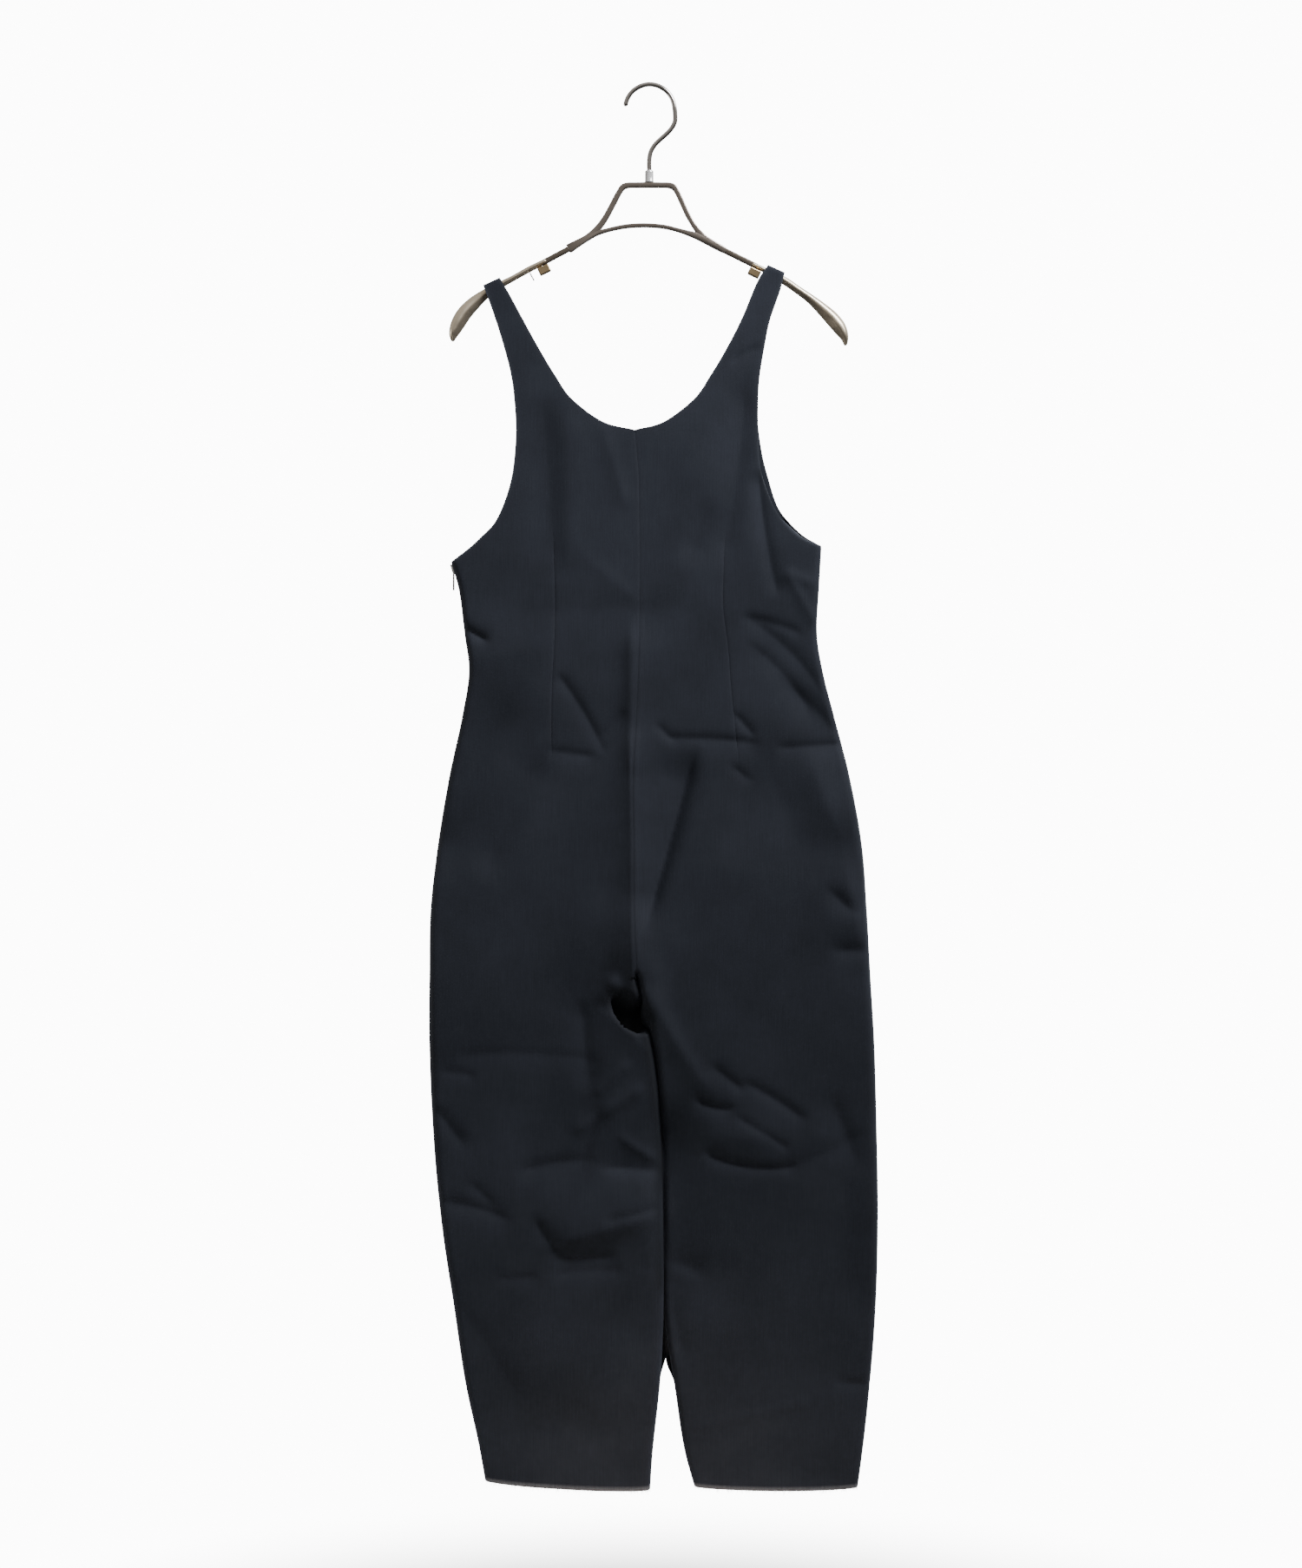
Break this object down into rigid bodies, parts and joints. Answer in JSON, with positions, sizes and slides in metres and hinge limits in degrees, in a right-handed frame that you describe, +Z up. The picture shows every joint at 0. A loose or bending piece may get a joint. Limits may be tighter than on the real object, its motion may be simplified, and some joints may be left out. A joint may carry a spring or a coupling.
{
  "type": "dungarees on a hanger",
  "caption": "Sleeveless dungarees in dark navy cloth with a deep round neck, narrow straps and cropped barrel-shaped legs, hanging on an adjustable plastic hanger.",
  "frame": {"origin": "inside of the top of the hanger's hook, where a rail carries it", "axes": "+Z up, -Y towards the front of the garment, +X towards the wearer's left"},
  "size_m": [0.4891, 0.053, 1.5426],
  "materials": {
    "navy_cloth": "matte twill",
    "navy_tape": "matte tape",
    "zip_metal": "satin",
    "chrome": "polished",
    "bronze_plastic": "metallic gloss",
    "gold_plastic": "metallic gloss"
  },
  "bodies": {
    "garment": {"front_right_panel": "navy_cloth", "front_left_panel": "navy_cloth", "back_right_panel": "navy_cloth", "back_left_panel": "navy_cloth", "zip_tape": "navy_tape", "zip_slider": "zip_metal", "hook_wire": "chrome", "hook_ferrule": "chrome", "hanger_frame": "bronze_plastic", "hanger_arm_right": "bronze_plastic", "hanger_arm_left": "bronze_plastic", "hanger_end_right": "bronze_plastic", "hanger_end_left": "bronze_plastic", "hanger_clip_right": "gold_plastic", "hanger_clip_left": "gold_plastic", "hanger_notch": "bronze_plastic"},
    "zip_pull": {"zip_pull": "zip_metal"}
  },
  "joints": [
    {"name": "zip_pull_swing", "type": "hinge", "parent": "garment", "child": "zip_pull", "pos_m": [-0.21463, 0, -0.53181], "axis": [0, 1, 0], "range_deg": [0, 110]}
  ]
}
